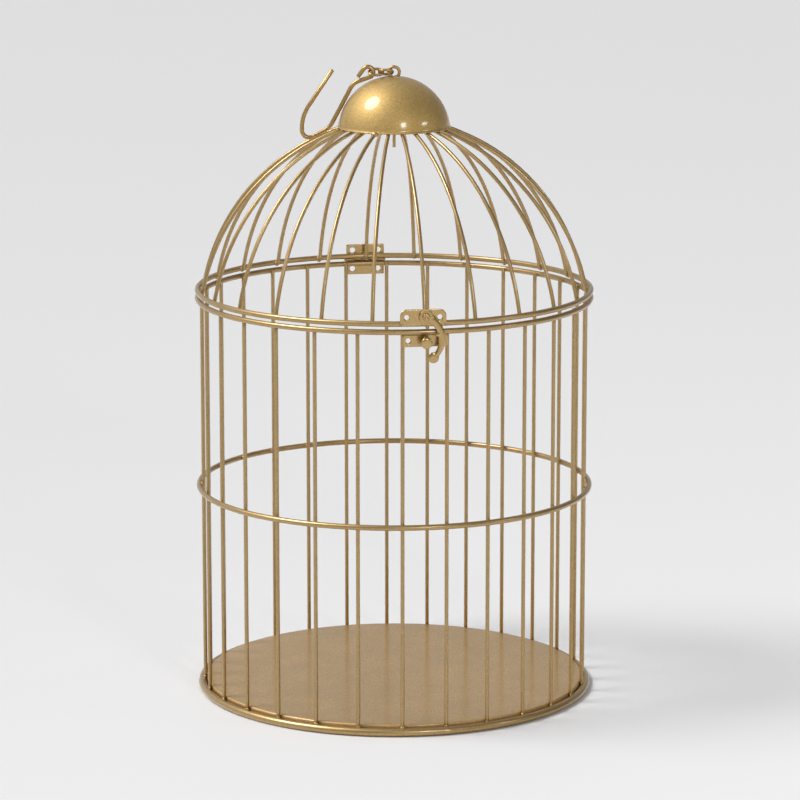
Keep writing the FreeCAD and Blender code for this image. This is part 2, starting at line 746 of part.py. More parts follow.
# Rivet: a flat back, a shank through plate and arm, and a bevelled head.
RIVET_NECK = "dims.latch_sheet + dims.arm_sheet + 2 * dims.arm_play"
RIVET_BEVEL = "dims.rivet_head_length / 2"
turned(
    "rivet",
    "latch_rivet",
    PLATE_OUT,
    "dims.pivot_height",
    [
        ("0", "-dims.rivet_back_length"),
        ("dims.rivet_head - dims.rivet_back_length / 2", "-dims.rivet_back_length"),
        ("dims.rivet_head - dims.rivet_back_length / 2", "0"),
        ("dims.rivet_radius", "0"),
        ("dims.rivet_radius", RIVET_NECK),
        ("dims.rivet_head", RIVET_NECK),
        ("dims.rivet_head", f"{RIVET_NECK} + {RIVET_BEVEL}"),
        (f"dims.rivet_head - {RIVET_BEVEL}", f"{RIVET_NECK} + dims.rivet_head_length"),
        ("0", f"{RIVET_NECK} + dims.rivet_head_length"),
    ],
)

# Keeper post: a foot that stands on the keeper plate, a groove that the arm's round end passes through, and
# a mushroom head that keeps the arm from slipping off.
POST_GROOVE = f"{ARM_OUT} - dims.arm_play - ({KEEPER_OUT})"
POST_HEAD = f"{ARM_OUT} + dims.arm_sheet + dims.post_head_play - ({KEEPER_OUT})"
POST_BEVEL = "dims.post_head_length / 2"
turned(
    "post",
    "latch_keeper_post",
    KEEPER_OUT,
    "dims.post_height",
    [
        ("0", "0"),
        ("dims.post_neck", "0"),
        ("dims.post_neck", "dims.latch_sheet"),
        ("dims.post_foot", "dims.latch_sheet"),
        ("dims.post_foot", POST_GROOVE),
        ("dims.post_neck", POST_GROOVE),
        ("dims.post_neck", POST_HEAD),
        ("dims.post_head", POST_HEAD),
        ("dims.post_head", f"{POST_HEAD} + {POST_BEVEL}"),
        (f"dims.post_head - {POST_BEVEL}", f"{POST_HEAD} + dims.post_head_length"),
        ("0", f"{POST_HEAD} + dims.post_head_length"),
    ],
)

# Swing arm: a boss on the rivet, a bowed arm that passes the post on its right, a nib on the inside of the
# bow, and a round end to push it by. It is drawn swung home, where the end is under the post's groove and holds
# the lid down, and then turned back until the end hangs beside the groove and the lid is free.
arm_chord = math.hypot(dim("arm_end_side"), dim("arm_end_drop"))
arm_sag = math.sqrt(dim("arm_bow") ** 2 - (arm_chord / 2) ** 2)
bow_x = dim("arm_end_side") / 2 - arm_sag * dim("arm_end_drop") / arm_chord
bow_z = -dim("arm_end_drop") / 2 - arm_sag * dim("arm_end_side") / arm_chord
bow_top = math.atan2(-bow_z, -bow_x)
bow_bottom = math.atan2(-dim("arm_end_drop") - bow_z, dim("arm_end_side") - bow_x)


def on_bow(radius, angle):
    return FreeCAD.Vector(bow_x + radius * math.cos(angle), bow_z + radius * math.sin(angle), 0)


arm = latch_body("arm", ARM_OUT, "dims.pivot_side", "dims.pivot_height", -dim("arm_open"))
boss_sketch = new_sketch(arm, "arm_boss_outline", "XZ_Plane")
circle(boss_sketch, "0", "0", "dims.arm_boss")
circle(boss_sketch, "0", "0", "dims.arm_bore")
pad(arm, "arm_boss_pad", boss_sketch, "dims.arm_sheet")

bow_sketch = new_sketch(arm, "arm_bow_outline", "XZ_Plane")
outer_bow = dim("arm_bow") + dim("arm_width") / 2
inner_bow = dim("arm_bow") - dim("arm_width") / 2
boss_clear = bow_top - math.atan2(dim("arm_bore") + dim("arm_sheet"), dim("arm_bow"))
bow_centre = FreeCAD.Vector(bow_x, bow_z, 0)
outer_arc = bow_sketch.addGeometry(
    Part.ArcOfCircle(Part.Circle(bow_centre, Z_AXIS, outer_bow), bow_bottom, boss_clear)
)
inner_arc = bow_sketch.addGeometry(
    Part.ArcOfCircle(Part.Circle(bow_centre, Z_AXIS, inner_bow), bow_bottom, boss_clear)
)
for angle in (bow_bottom, boss_clear):
    bow_sketch.addGeometry(Part.LineSegment(on_bow(outer_bow, angle), on_bow(inner_bow, angle)))
BOTTOM_SIDE, TOP_SIDE = 2, 3
for side, arc_end in ((BOTTOM_SIDE, 1), (TOP_SIDE, 2)):
    bow_sketch.addConstraint(Sketcher.Constraint("Coincident", outer_arc, arc_end, side, 1))
    bow_sketch.addConstraint(Sketcher.Constraint("Coincident", inner_arc, arc_end, side, 2))
for arc, radius in (
    (outer_arc, "dims.arm_bow + dims.arm_width / 2"),
    (inner_arc, "dims.arm_bow - dims.arm_width / 2"),
):
    number = float(bow_sketch.evalExpression(radius))
    constraint = bow_sketch.addConstraint(Sketcher.Constraint("Radius", arc, number))
    bow_sketch.setExpression(f"Constraints[{constraint}]", radius)
    pin_point(bow_sketch, arc, 3, str(bow_x), str(bow_z))
pad(arm, "arm_bow_pad", bow_sketch, "dims.arm_sheet")

end_sketch = new_sketch(arm, "arm_end_outline", "XZ_Plane")
circle(end_sketch, "dims.arm_end_side", "-dims.arm_end_drop", "dims.arm_end")
pad(arm, "arm_end_pad", end_sketch, "dims.arm_sheet")

nib_sketch = new_sketch(arm, "arm_nib_outline", "XZ_Plane")
polygon(
    nib_sketch,
    [
        ("dims.nib_reach", "-dims.nib_drop"),
        ("dims.nib_reach + dims.nib_root", "-dims.nib_drop - dims.nib_root"),
        ("dims.nib_reach + dims.nib_root", "-dims.nib_drop + dims.nib_root"),
    ],
)
pad(arm, "arm_nib_pad", nib_sketch, "dims.arm_sheet")
keep(arm, "latch_arm")

# Every object has to be sound before anything is written.
doc.recompute()
for obj in doc.Objects:
    if "Invalid" in obj.State or "Error" in obj.State:
        raise RuntimeError(f"{obj.Label} failed: {obj.State}")
for obj in sub_parts:
    if obj.Shape.isNull() or not obj.Shape.isValid():
        raise RuntimeError(f"{obj.Label} has no sound shape")

os.makedirs("parts", exist_ok=True)
for obj in sub_parts:
    obj.Shape.exportStep(f"parts/{obj.Label}.step")
print(len(sub_parts), "sub-parts")
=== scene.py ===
import math

import bmesh
import bpy
import numpy as np
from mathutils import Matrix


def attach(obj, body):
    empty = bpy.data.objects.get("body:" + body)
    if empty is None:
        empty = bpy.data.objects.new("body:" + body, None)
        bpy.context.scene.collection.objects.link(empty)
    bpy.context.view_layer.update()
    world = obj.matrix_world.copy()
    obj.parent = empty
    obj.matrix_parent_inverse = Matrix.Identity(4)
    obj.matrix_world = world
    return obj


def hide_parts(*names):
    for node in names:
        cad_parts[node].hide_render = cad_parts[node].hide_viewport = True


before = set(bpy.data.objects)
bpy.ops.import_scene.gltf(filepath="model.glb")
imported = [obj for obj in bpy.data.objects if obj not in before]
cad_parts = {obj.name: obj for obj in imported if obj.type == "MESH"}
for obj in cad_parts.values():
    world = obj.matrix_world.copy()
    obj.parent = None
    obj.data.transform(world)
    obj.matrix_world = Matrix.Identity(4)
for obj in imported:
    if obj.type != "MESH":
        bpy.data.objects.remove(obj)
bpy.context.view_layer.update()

# Base ring: the thick hoop that the cage stands on. Mild steel wire in champagne-gold metallic paint,
# bent round and butt welded at the front, where the ground-back weld still stands a little proud.
CAGE_RADIUS = 125.0
BASE_WIRE = 2.5
BASE_JOINT = 277.3
WIRE_GOLD = (0.46, 0.311, 0.126)
WIRE_ROUGHNESS = 0.42


def noise(tree, place, scale, detail):
    """Smooth noise over the surface, with a number of finer layers on it."""
    cloud = tree.nodes.new("ShaderNodeTexNoise")
    cloud.inputs["Scale"].default_value = scale
    cloud.inputs["Detail"].default_value = detail
    tree.links.new(place, cloud.inputs["Vector"])
    return cloud.outputs["Fac"]


def spread_between(tree, source, low, high):
    """Carries a source of 0 to 1 in a straight line onto the range from low to high."""
    carry = tree.nodes.new("ShaderNodeMapRange")
    carry.inputs["To Min"].default_value = low
    carry.inputs["To Max"].default_value = high
    tree.links.new(source, carry.inputs["Value"])
    return carry.outputs["Result"]


FLAKE_SCALE = 1900.0
FLAKE_TONE = (0.80, 1.22)
CLOUD_SCALE = 45.0
CLOUD_DETAIL = 4.0
CLOUD_TONE = (0.88, 1.12)
SHEEN_SPREAD = 0.06
GRAIN_SCALE = 1400.0
GRAIN_DETAIL = 2.0
GRAIN_STRENGTH = 0.22
GRAIN_DEPTH = 0.0001


def gold_paint(name, colour, roughness):
    """Metallic paint: fine flakes shift the tone from cell to cell, a slow cloud shifts tone and sheen,
    and small noise tips the surface. A clear coat lies over it."""
    paint = bpy.data.materials.new(name)
    paint.use_nodes = True
    tree = paint.node_tree
    skin = tree.nodes["Principled BSDF"]
    skin.inputs["Metallic"].default_value = 0.92
    skin.inputs["Specular IOR Level"].default_value = 0.5
    skin.inputs["Coat Weight"].default_value = 0.8
    skin.inputs["Coat Roughness"].default_value = 0.14
    place = tree.nodes.new("ShaderNodeTexCoord").outputs["Object"]

    flakes = tree.nodes.new("ShaderNodeTexVoronoi")
    flakes.inputs["Scale"].default_value = FLAKE_SCALE
    tree.links.new(place, flakes.inputs["Vector"])
    cloud = noise(tree, place, CLOUD_SCALE, CLOUD_DETAIL)
    tone = tree.nodes.new("ShaderNodeMath")
    tone.operation = "MULTIPLY"
    tree.links.new(spread_between(tree, flakes.outputs["Color"], *FLAKE_TONE), tone.inputs[0])
    tree.links.new(spread_between(tree, cloud, *CLOUD_TONE), tone.inputs[1])
    tint = tree.nodes.new("ShaderNodeVectorMath")
    tint.operation = "SCALE"
    tint.inputs[0].default_value = colour
    tree.links.new(tone.outputs["Value"], tint.inputs["Scale"])
    tree.links.new(tint.outputs["Vector"], skin.inputs["Base Color"])

    sheen = spread_between(tree, cloud, roughness - SHEEN_SPREAD, roughness + SHEEN_SPREAD)
    tree.links.new(sheen, skin.inputs["Roughness"])

    relief = tree.nodes.new("ShaderNodeBump")
    relief.inputs["Strength"].default_value = GRAIN_STRENGTH
    relief.inputs["Distance"].default_value = GRAIN_DEPTH
    tree.links.new(noise(tree, place, GRAIN_SCALE, GRAIN_DETAIL), relief.inputs["Height"])
    tree.links.new(relief.outputs["Normal"], skin.inputs["Normal"])
    return paint


def grid_quads(rows, columns, close_rows=False):
    """Four-cornered faces between neighbouring rows and columns of a grid. The last column always joins the
    first one, and the last row joins the first where the grid closes that way too."""
    row = np.arange(rows if close_rows else rows - 1)[:, None]
    column = np.arange(columns)[None, :]
    next_row = (row + 1) % rows
    next_column = (column + 1) % columns
    corners = (
        row * columns + column,
        row * columns + next_column,
        next_row * columns + next_column,
        next_row * columns + column,
    )
    return np.stack(corners, axis=-1).reshape(-1, 4)


def end_caps(rows, columns):
    """The first and the last row of a grid, each as one face."""
    first = np.arange(columns)
    return np.stack([first, first + (rows - 1) * columns])


TURN = 2 * math.pi
END_LEANS = np.radians([86.0, 62.0, 38.0, 14.0])
END_ROUNDING = 0.5
NO_CAPS = np.empty((0, 3), int)


def tube(path, across, radius, sides, closed=False, depth=None, square=1.0):
    """A wire along a flat path: every point of the path carries a section square to the path, of the given
    radius in the path's plane and the given depth across it. Open ends are rounded over within the length.
    A square below 1 flattens the section's four sides."""
    path = np.asarray(path, float)
    count = len(path)
    radius = np.broadcast_to(radius, count).astype(float)
    depth = radius if depth is None else np.broadcast_to(depth, count).astype(float)
    if closed:
        along = np.roll(path, -1, axis=0) - np.roll(path, 1, axis=0)
    else:
        along = np.gradient(path, axis=0)
    along = along / np.linalg.norm(along, axis=1, keepdims=True)
    if not closed:
        back = np.flip(END_LEANS)
        steps = len(END_LEANS)
        row = np.concatenate([np.zeros(steps, int), np.arange(1, count - 1), np.full(steps, count - 1)])
        inset = np.concatenate([1 - np.sin(END_LEANS), np.zeros(count - 2), np.sin(back) - 1])
        shrink = np.concatenate([np.cos(END_LEANS), np.ones(count - 2), np.cos(back)])
        blunt = END_ROUNDING * np.minimum(radius, depth)
        path = path[row] + along[row] * (blunt[row] * inset)[:, None]
        along = along[row]
        radius = radius[row] * shrink
        depth = depth[row] * shrink
    inward = np.cross(across, along)
    angle = np.arange(sides) * TURN / sides
    reach = np.sign(np.cos(angle)) * np.abs(np.cos(angle)) ** square
    rise = np.sign(np.sin(angle)) * np.abs(np.sin(angle)) ** square
    points = (
        path[:, None]
        + inward[:, None] * (radius[:, None] * reach)[..., None]
        + np.asarray(across)[None, None] * (depth[:, None] * rise)[..., None]
    )
    caps = NO_CAPS if closed else end_caps(len(path), sides)
    return points.reshape(-1, 3), grid_quads(len(path), sides, closed), caps


def around(radius, azimuth, height):
    """Points at a radius, an azimuth and a height about the cage axis."""
    radius, azimuth, height = np.broadcast_arrays(radius, azimuth, height)
    return np.stack([radius * np.cos(azimuth), radius * np.sin(azimuth), height], axis=-1)


UP = np.array([0.0, 0.0, 1.0])
JOINT_SWELL = 0.16
JOINT_LENGTH = 0.9


def hoop(radius, height, wire, joint, steps=720, sides=16):
    """A ring of wire about the cage axis. At the joint, an angle in degrees, it swells sideways by a sixth
    of the wire's radius, and the swelling falls off within a wire's thickness to either side."""
    angle = np.arange(steps) * TURN / steps
    away = (angle - math.radians(joint) + math.pi) % TURN - math.pi
    swell = 1 + JOINT_SWELL * np.exp(-((away * radius / (JOINT_LENGTH * wire)) ** 2))
    return tube(around(radius, angle, height), UP, wire * swell, sides, closed=True, depth=wire)


MM = 0.001
SEAM_REACH = 2e-7


def new_piece(name, surfaces, body, nodes, paint, crease=50.0):
    """Joins surfaces given in millimetres into one mesh in metres, points that meet welded and faces turned
    outward, that rides on a body and stands for the nodes of the frame. Edges sharper than the crease, in
    degrees, stay sharp."""
    starts = np.cumsum([0] + [len(points) for points, quads, caps in surfaces])
    vertices = np.vstack([points for points, quads, caps in surfaces]) * MM
    faces = []
    for start, (points, quads, caps) in zip(starts, surfaces):
        faces += (quads + start).tolist() + (caps + start).tolist()
    mesh = bpy.data.meshes.new(name)
    mesh.from_pydata(vertices.tolist(), [], faces)
    turner = bmesh.new()
    turner.from_mesh(mesh)
    bmesh.ops.remove_doubles(turner, verts=turner.verts, dist=SEAM_REACH)
    bmesh.ops.recalc_face_normals(turner, faces=turner.faces)
    turner.to_mesh(mesh)
    turner.free()
    mesh.shade_smooth()
    mesh.set_sharp_from_angle(angle=math.radians(crease))
    mesh.materials.append(paint)
    piece = bpy.data.objects.new(name, mesh)
    bpy.context.scene.collection.objects.link(piece)
    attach(piece, body)
    if nodes:
        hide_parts(*nodes)


wire_paint = gold_paint("wire_paint", WIRE_GOLD, WIRE_ROUGHNESS)
base_hoop = hoop(CAGE_RADIUS - BASE_WIRE, BASE_WIRE, BASE_WIRE, BASE_JOINT, sides=20)
new_piece("base_ring_wire", [base_hoop], "cage", ["base_ring"], wire_paint)

# Mid ring and mouth ring: the two thinner hoops outside the bars, of steel wire in the same paint,
# whose film is added to the wire. Each is closed by a butt weld at the back.
RING_WIRE = 1.6
RING_RADIUS = CAGE_RADIUS - RING_WIRE
MID_HEIGHT = 131.0
MID_JOINT = 102.7
MOUTH_HEIGHT = 251.1
MOUTH_JOINT = 103.0
PAINT_FILM = 0.12
mid_hoop = hoop(RING_RADIUS, MID_HEIGHT, RING_WIRE + PAINT_FILM, MID_JOINT)
mouth_hoop = hoop(RING_RADIUS, MOUTH_HEIGHT, RING_WIRE + PAINT_FILM, MOUTH_JOINT)
new_piece("mid_ring_wire", [mid_hoop], "cage", ["mid_ring"], wire_paint)
new_piece("body_rim_ring_wire", [mouth_hoop], "cage", ["body_rim_ring"], wire_paint)

# Upright bars: twenty-eight straight steel wires inside the rings, cut square and rounded by the paint.
# Their feet stand on the shoulder of the base ring and their tops end just over the mouth ring.
# Welded pieces bite a little into each other.
FRONT_ANGLE = -90.0
BAR_COUNT = 28
BAR_WIRE = 1.1
BAR_FOOT = 3.6
BAR_TOP = 252.2
BAR_STEPS = 40
WELD_BITE = 0.03
BAR_RADIUS = RING_RADIUS - RING_WIRE - BAR_WIRE + WELD_BITE
bar_azimuth = np.radians(FRONT_ANGLE + 360 / BAR_COUNT * (np.arange(BAR_COUNT) + 0.5))


def upright_wire(reach, azimuth, heights):
    """A thin wire in the upright plane at an azimuth, through points of the given reach and heights."""
    sideways = around(1.0, azimuth + math.pi / 2, 0.0)
    return tube(around(reach, azimuth, heights), sideways, BAR_WIRE + PAINT_FILM, sides=12)


for bar, azimuth in enumerate(bar_azimuth, start=1):
    name = f"upright_bar_{bar:02d}"
    bar_wire = upright_wire(BAR_RADIUS, azimuth, np.linspace(BAR_FOOT, BAR_TOP, BAR_STEPS))
    new_piece(name + "_wire", [bar_wire], "cage", [name], wire_paint)

# Welds of the cage: a small bead of melted steel where each bar meets each ring, painted with the rest.
# They are flattened balls of slightly uneven size that fill the groove between bar and ring.
BEAD_SIZE = np.array([1.15, 1.75, 1.75])
BEAD_UNEVENNESS = (0.85, 1.15)
BEAD_POLE = 0.12
MOUTH_BEAD_SIZE = BEAD_SIZE * (1, 1, 0.75)
MOUTH_BEAD_IN = 0.2
MOUTH_BEAD_DROP = 0.6
FOOT_BEAD_OUT = 0.4
FOOT_BEAD_HEIGHT = 4.5
chance = np.random.default_rng(seed=11)


def beads(azimuth, radius, height, size, rows=6, sides=8):
    """Flattened balls about the cage axis: each point of a unit ball is stretched by the bead's half sizes
    outward, sideways and upward, and set at the bead's place."""
    count = len(azimuth)
    dip = np.linspace(BEAD_POLE, math.pi - BEAD_POLE, rows)[:, None]
    turn = np.arange(sides)[None, :] * TURN / sides
    ball = around(np.sin(dip), turn, np.cos(dip))
    scale = np.asarray(size) * chance.uniform(*BEAD_UNEVENNESS, (count, 3))
    local = ball.reshape(1, -1, 3) * scale[:, None]
    outward = around(1.0, azimuth, 0.0)[:, None]
    sideways = around(1.0, azimuth + math.pi / 2, 0.0)[:, None]
    points = around(radius, azimuth, height)[:, None]
    points = points + local[..., :1] * outward + local[..., 1:2] * sideways + local[..., 2:] * UP
    first = (np.arange(count) * rows * sides)[:, None, None]
    quads = (grid_quads(rows, sides)[None] + first).reshape(-1, 4)
    caps = (end_caps(rows, sides)[None] + first).reshape(-1, sides)
    return points.reshape(-1, 3), quads, caps


weld_radius = RING_RADIUS - RING_WIRE
cage_welds = [
    beads(bar_azimuth, weld_radius, MID_HEIGHT, BEAD_SIZE),
    beads(bar_azimuth, weld_radius - MOUTH_BEAD_IN, MOUTH_HEIGHT - MOUTH_BEAD_DROP, MOUTH_BEAD_SIZE),
    beads(bar_azimuth, BAR_RADIUS + FOOT_BEAD_OUT, FOOT_BEAD_HEIGHT, BEAD_SIZE),
]
new_piece("cage_welds", cage_welds, "cage", [], wire_paint)

# Floor of the cage: a pressed steel disc in the same paint, laid flatter and so a little duller. Its colour
# is painted lighter than the wire's, as painted light for the light falling on its upward face.
# Its edge is rolled over and turned down inside the feet of the bars.
EAST = np.array([1.0, 0.0, 0.0])
AXIS_FOOT = np.zeros(3)
SHEET = 0.8
PLATE_RADIUS = BAR_RADIUS - BAR_WIRE + WELD_BITE
PLATE_TOP = 6.5
PLATE_LIP = 2.5
PLATE_ROLL = 1.0
PLATE_EDGE = 0.3
PLATE_STEPS = np.array([0.0, 40.0, 80.0, 112.0])
# Painted light: the floor's gold is lighter than the wire's to stand in for the light on its upward face.
SHEET_LIT_GOLD = (0.62, 0.415, 0.180)
SHEET_ROUGHNESS = 0.62


def lathe(profile, axis, side, centre, sides, closed=False):
    """A turned piece: each (radius, distance) of the profile is carried round an axis through the centre.
    An open profile starts and ends on the axis, where its points are welded into one."""
    profile = np.asarray(profile, float)
    angle = np.arange(sides)[None, :, None] * TURN / sides
    ring = np.cos(angle) * side + np.sin(angle) * np.cross(axis, side)
    points = np.asarray(centre) + profile[:, None, :1] * ring + profile[:, None, 1:] * axis
    return points.reshape(-1, 3), grid_quads(len(profile), sides, closed), NO_CAPS


def arc(centre_a, centre_b, radius, start, stop, steps):
    """Points on an arc in a plane, as (a, b) pairs, from a start to a stop angle in degrees."""
    angle = np.radians(np.linspace(start, stop, steps))
    return np.stack([centre_a + radius * np.cos(angle), centre_b + radius * np.sin(angle)], axis=1)


plate_face = np.column_stack([PLATE_STEPS, np.full(len(PLATE_STEPS), PLATE_TOP)])
plate_profile = np.vstack(
    [
        plate_face,
        arc(PLATE_RADIUS - PLATE_ROLL, PLATE_TOP - PLATE_ROLL, PLATE_ROLL, 90, 0, 7),
        arc(PLATE_RADIUS - PLATE_EDGE, PLATE_LIP + PLATE_EDGE, PLATE_EDGE, 0, -90, 3),
        arc(PLATE_RADIUS - SHEET + PLATE_EDGE, PLATE_LIP + PLATE_EDGE, PLATE_EDGE, -90, -180, 3),
        arc(PLATE_RADIUS - PLATE_ROLL, PLATE_TOP - PLATE_ROLL, PLATE_ROLL - SHEET, 0, 90, 5),
        plate_face[-2::-1] - (0.0, SHEET),
    ]
)
sheet_lit_paint = gold_paint("sheet_lit_paint", SHEET_LIT_GOLD, SHEET_ROUGHNESS)
plate = lathe(plate_profile, UP, EAST, AXIS_FOOT, sides=180)
new_piece("base_plate_sheet", [plate], "cage", ["base_plate"], sheet_lit_paint, crease=80.0)

# Lid ring: the hoop that the dome stands on, the same painted wire as the mouth ring that it closes onto.
# Butt welded at the back, a little to the side of the hinge.
LID_HEIGHT = 256.1
LID_JOINT = 74.0
lid_hoop = hoop(RING_RADIUS, LID_HEIGHT, RING_WIRE + PAINT_FILM, LID_JOINT)
new_piece("lid_ring_wire", [lid_hoop], "lid", ["lid_ring"], wire_paint)

# Dome ribs: twenty-four bowed steel wires from the inside of the lid ring to the crown, in facing pairs.
# Each follows one arc in an upright plane through the cage axis and wears the same paint as the bars.
RIB_COUNT = 24
RIB_ARC_REACH = -9.0
RIB_ARC_HEIGHT = 232.0
RIB_ARC_RADIUS = 131.95
RIB_FOOT_ANGLE = 9.995
RIB_TOP_ANGLE = 75.52
RIB_STEPS = 64
rib_azimuth = np.radians(FRONT_ANGLE + 360 / RIB_COUNT * np.arange(RIB_COUNT))
rib_route = arc(RIB_ARC_REACH, RIB_ARC_HEIGHT, RIB_ARC_RADIUS, RIB_FOOT_ANGLE, RIB_TOP_ANGLE, RIB_STEPS)
for pair, facing in enumerate(zip(rib_azimuth, rib_azimuth[RIB_COUNT // 2 :]), start=1):
    name = f"dome_rib_pair_{pair:02d}"
    ribs = [upright_wire(rib_route[:, 0], azimuth, rib_route[:, 1]) for azimuth in facing]
    new_piece(name + "_wire", ribs, "lid", [name], wire_paint)

# Welds of the lid: a bead at the foot of each rib, on the inside of the lid ring.
# They are flattened balls like those of the cage, set a little below the middle of the ring.
RIB_BEAD_DROP = 0.4
lid_welds = [beads(rib_azimuth, weld_radius, LID_HEIGHT - RIB_BEAD_DROP, BEAD_SIZE)]
new_piece("lid_welds", lid_welds, "lid", [], wire_paint)

# Crown ring: a small hoop of the same wire as the rings, which the ribs' upper ends are welded to.
# It is butt welded too, and the cap hides it.
CROWN_RADIUS = 26.0
CROWN_HEIGHT = 361.96
CROWN_JOINT = 0.0
crown = hoop(CROWN_RADIUS, CROWN_HEIGHT, RING_WIRE, CROWN_JOINT, steps=120, sides=12)
new_piece("crown_ring_wire", [crown], "lid", ["crown_ring"], wire_paint)

# Cap: a pressed steel bowl, nearly half a ball, in the same paint with a satin finish like the floor's. Its
# colour is painted lighter than the wire's, as painted light for the key lamp on its upward face. It stands
# on the ribs and hides their ends. Its bottom edge is rolled to a small bead, and one weld that holds it
# shows under the edge.
CAP_BALL = 35.14
CAP_CENTRE = 354.55
CAP_RIM = 357.69
CAP_BEAD = 0.5
CAP_BEAD_IN = 0.2
CAP_SKIN_RISE = 1.05
CAP_LINING_RISE = 0.65
# Painted light: the cap's gold is lighter than the wire's to stand in for the key lamp on its upward face.
CAP_LIT_GOLD = (0.57, 0.392, 0.142)
CAP_ROUGHNESS = 0.60
CAP_WELD_ANGLE = 241.5
CAP_WELD_DROP = 0.2
CAP_WELD_SIZE = (1.7, 2.2, 1.6)
skin_foot = math.degrees(math.asin((CAP_RIM + CAP_SKIN_RISE - CAP_CENTRE) / CAP_BALL))
lining_foot = math.degrees(math.asin((CAP_RIM + CAP_LINING_RISE - CAP_CENTRE) / (CAP_BALL - SHEET)))
cap_profile = np.vstack(
    [
        arc(0, CAP_CENTRE, CAP_BALL, 90, skin_foot, 48),
        arc(CAP_BALL - CAP_BEAD_IN, CAP_RIM + CAP_BEAD, CAP_BEAD, 90, -170, 12),
        arc(0, CAP_CENTRE, CAP_BALL - SHEET, lining_foot, 90, 40),
    ]
)
# The cap's paint carries painted light: a lighter gold than the wire's.
cap_lit_paint = gold_paint("cap_lit_paint", CAP_LIT_GOLD, CAP_ROUGHNESS)
cap = lathe(cap_profile, UP, EAST, AXIS_FOOT, sides=128)
new_piece("dome_cap_bowl", [cap], "lid", ["dome_cap"], cap_lit_paint)
cap_weld_azimuth = np.radians([CAP_WELD_ANGLE])
cap_weld = beads(cap_weld_azimuth, CAP_BALL, CAP_RIM - CAP_WELD_DROP, CAP_WELD_SIZE, rows=10, sides=14)
new_piece("cap_weld", [cap_weld], "lid", [], wire_paint)

# Lifting eye: a closed loop of steel wire over the cap, on a shank that goes down through its top.
# The loop stands in the upright plane in which the chain lies, in the chain's deeper and glossier gold.
CHAIN_AZIMUTH = math.radians(172.5)
CHAIN_HEIGHT = 392.15
CHAIN_GOLD = (0.47, 0.300, 0.100)
CHAIN_ROUGHNESS = 0.38
EYE_LOOP = 3.3
EYE_WIRE = 1.0
EYE_HEIGHT = 392.09
EYE_SHANK_FOOT = 345.0
EYE_STEPS = 48
ahead = np.array([math.cos(CHAIN_AZIMUTH), math.sin(CHAIN_AZIMUTH), 0.0])
athwart = np.cross(UP, ahead)


def in_chain_plane(route):
    """Points of the chain's plane from (reach, height) pairs."""
    return route[:, :1] * ahead + route[:, 1:] * UP


chain_paint = gold_paint("chain_paint", CHAIN_GOLD, CHAIN_ROUGHNESS)
eye_route = arc(0, EYE_HEIGHT, EYE_LOOP, 0, 360 - 360 / EYE_STEPS, EYE_STEPS)
eye_loop = tube(in_chain_plane(eye_route), athwart, EYE_WIRE, sides=14, closed=True)
shank_heights = np.linspace(EYE_SHANK_FOOT, EYE_HEIGHT - EYE_LOOP, num=12)
eye_shank = tube(shank_heights[:, None] * UP, athwart, EYE_WIRE, sides=14)
new_piece("lifting_eye_wire", [eye_loop, eye_shank], "lid", ["lifting_eye"], chain_paint)

# Chain: two oval links of thin steel wire that lean opposite ways, one in the eye and one in the hook.
# Each is bent to two half circles and two straights, and wears a thinner film of paint.
LINK_WIRE = 0.8
LINK_FILM = 0.08
LINK_BEND = 3.2
LINK_SPAN = 8.4
LINK_LEAN = 0.5
FIRST_LINK_START = 0.9
SECOND_LINK_START = 7.1
for node, body, start, lean in (
    ("chain_link_1", "first_link", FIRST_LINK_START, LINK_LEAN),
    ("chain_link_2", "second_link", SECOND_LINK_START, -LINK_LEAN),
):
    over = math.sqrt(1 - lean**2) * athwart + lean * UP
    oval = np.vstack(
        [
            arc(start + LINK_BEND, 0, LINK_BEND, 90, 270, 24),
            arc(start + LINK_SPAN - LINK_BEND, 0, LINK_BEND, -90, 90, 24),
        ]
    )
    path = oval[:, :1] * ahead + oval[:, 1:] * over + CHAIN_HEIGHT * UP
    link = tube(path, np.cross(ahead, over), LINK_WIRE + LINK_FILM, sides=12, closed=True)
    new_piece(node + "_wire", [link], body, [node], chain_paint)

# Hanging hook: one bent steel wire in the chain's paint. Its eye is a drop-shaped loop round the second
# link, the shank runs down beside the cap, and the bow dips between two ribs and turns up to a cut tip.
# Each corner is given by its reach from the axis, its height and its bend.
HOOK_WIRE = 1.2
HOOK_FILM = 0.15
HOOK_LOOP = 3.3
HOOK_LOOP_REACH = 16.2
HOOK_END_GAP = 0.2
HOOK_BEND_STEPS = 14
HOOK_NECK = (25.4, 385.4, 10.0)
HOOK_HEEL = (40.2, 357.5, 12.0)
HOOK_TOE = (57.4, 348.3, 4.6)
HOOK_LIP = (57.4, 364.8, 26.0)
HOOK_TIP = (38.1, 393.8)


def rounded_route(corners):
    """Straight legs through (reach, height, bend) corners, each corner turned on an arc of its own bend."""
    route = [np.array([corners[0][:2]])]
    for before, (reach, height, bend), after in zip(corners, corners[1:], corners[2:]):
        here = np.array([reach, height])
        back = before[:2] - here
        on = after[:2] - here
        back = back / np.linalg.norm(back)
        on = on / np.linalg.norm(on)
        half = (math.pi - math.acos(float(back @ on))) / 2
        inward = (back + on) / np.linalg.norm(back + on)
        sweep = (on - back) / np.linalg.norm(on - back)
        turn = np.linspace(-half, half, HOOK_BEND_STEPS)[:, None]
        centre = here + inward * (bend / math.cos(half))
        route.append(centre + bend * (np.sin(turn) * sweep - np.cos(turn) * inward))
    route.append(np.array([corners[-1][:2]]))
    return np.vstack(route)


def from_neck(distance, angle):
    """The point at a distance and an angle in degrees from the hook's neck."""
    return arc(HOOK_NECK[0], HOOK_NECK[1], distance, angle, angle, 1)


